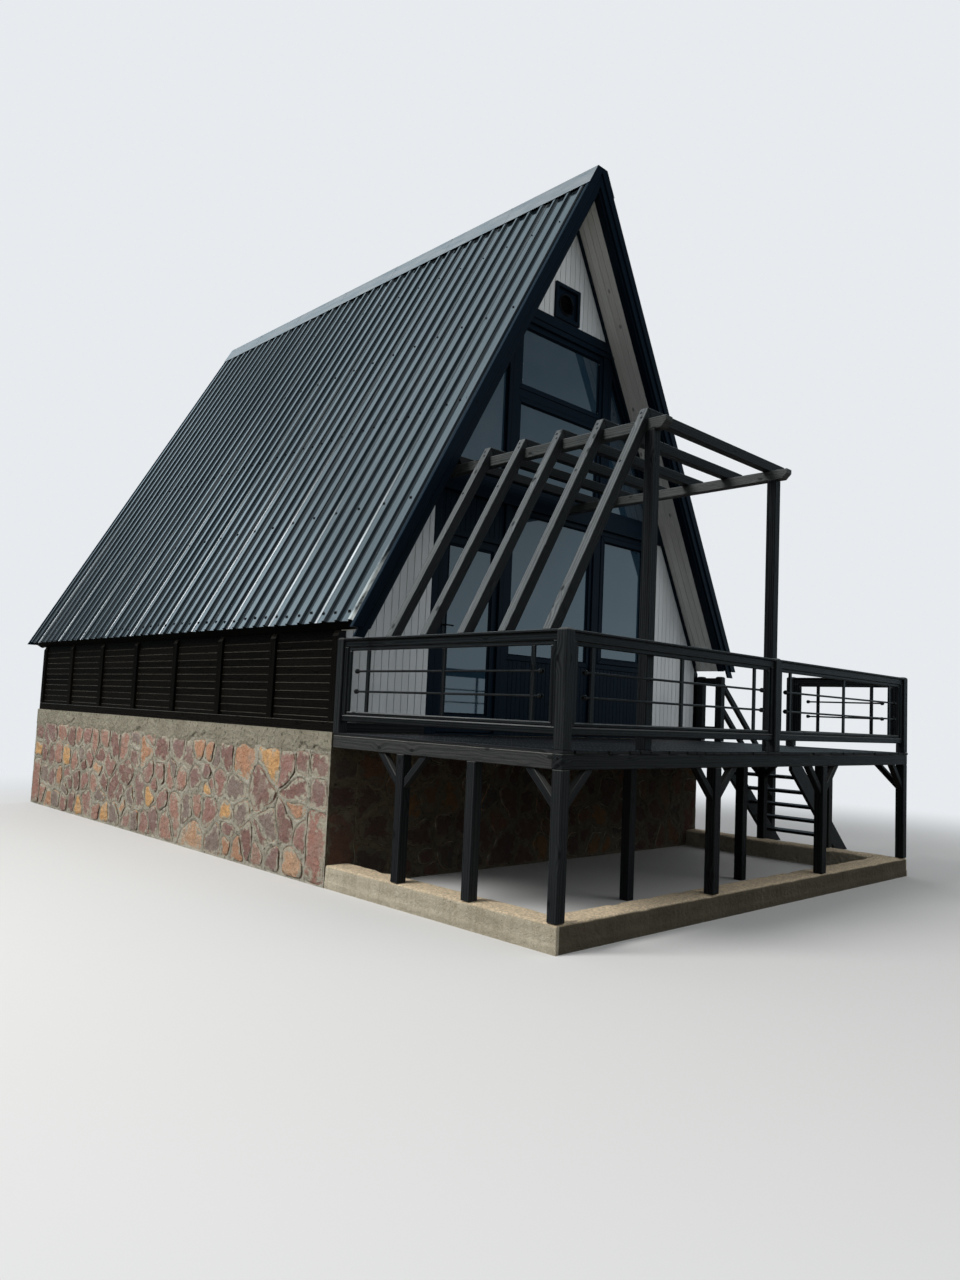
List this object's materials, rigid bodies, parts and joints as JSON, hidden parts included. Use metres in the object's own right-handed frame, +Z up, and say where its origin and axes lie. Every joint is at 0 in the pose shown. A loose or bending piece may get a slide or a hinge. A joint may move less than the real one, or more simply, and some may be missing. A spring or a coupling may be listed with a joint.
{
  "type": "a-frame cabin",
  "caption": "Steep-roofed timber cabin on a stone plinth, with a glazed gable, a hinged door, a raised deck with railings, a side stair and an open pergola.",
  "frame": {"origin": "foot of the front plinth wall, at the middle of its length and thickness", "axes": "+Z up, +Y from the deck towards the back of the house, +X to the right as seen from the deck"},
  "size_m": [8.4243, 11.54, 8.5742],
  "materials": {
    "stone": "rubble stone in grey mortar",
    "floor_boards": "planed boards",
    "black_timber": "black stain on rough timber",
    "dark_boards": "brown-black stained boards",
    "black_frame": "smooth blue-black paint",
    "white_boards": "off-white painted boards",
    "pale_boards": "greyed pale boards",
    "glass": "sky-reflecting glass",
    "handle_metal": "black satin",
    "roof_timber": "dark boards",
    "roof_sheet": "anthracite gloss coating",
    "ridge_metal": "grey coated folded sheet",
    "concrete": "buff concrete",
    "deck_timber": "worn black-grey boards",
    "weathered_timber": "black stain weathered grey on top"
  },
  "bodies": {
    "house": {"plinth_front": "stone", "plinth_back": "stone", "plinth_left": "stone", "plinth_right": "stone", "ground_floor": "floor_boards", "upper_floor": "floor_boards", "side_frame_left": "black_timber", "side_frame_right": "black_timber", "side_panels_left": "dark_boards", "side_panels_right": "dark_boards", "front_wall_left": "white_boards", "front_wall_right": "white_boards", "front_wall_peak": "white_boards", "front_posts": "black_frame", "storey_bands": "black_frame", "header_band": "black_frame", "dark_panels": "black_frame", "front_window_frames": "black_frame", "fixed_glass": "glass", "gable_vent": "black_frame", "door_frame": "black_frame", "back_wall_lower": "white_boards", "back_wall_upper": "white_boards", "back_window_frames": "black_frame", "roof_deck_left": "roof_timber", "roof_deck_right": "roof_timber", "roof_sheet_left": "roof_sheet", "roof_sheet_right": "roof_sheet", "ridge_cap": "ridge_metal", "bargeboards": "black_frame", "soffit_boards": "pale_boards", "gable_trim": "black_frame", "kerb": "concrete", "deck_posts": "black_timber", "deck_braces": "black_timber", "deck_frame": "black_timber", "deck_boards": "deck_timber", "railing_posts": "black_timber", "railing_left": "black_timber", "railing_front_left": "black_timber", "railing_front_right": "black_timber", "railing_right": "black_timber", "stair_stringers": "black_timber", "stair_treads": "deck_timber", "stair_handrail": "black_timber", "pergola_posts": "black_timber", "pergola_side_beams": "black_timber", "pergola_cross_beams": "black_timber", "pergola_rafters": "weathered_timber"},
    "door": {"door_leaf": "black_frame", "door_glass": "glass", "door_handle": "handle_metal"}
  },
  "joints": [
    {"name": "door_hinge", "type": "hinge", "parent": "house", "child": "door", "pos_m": [-0.988, -0.089, 2.62], "axis": [0, 0, -1], "range_deg": [0, 95]}
  ]
}
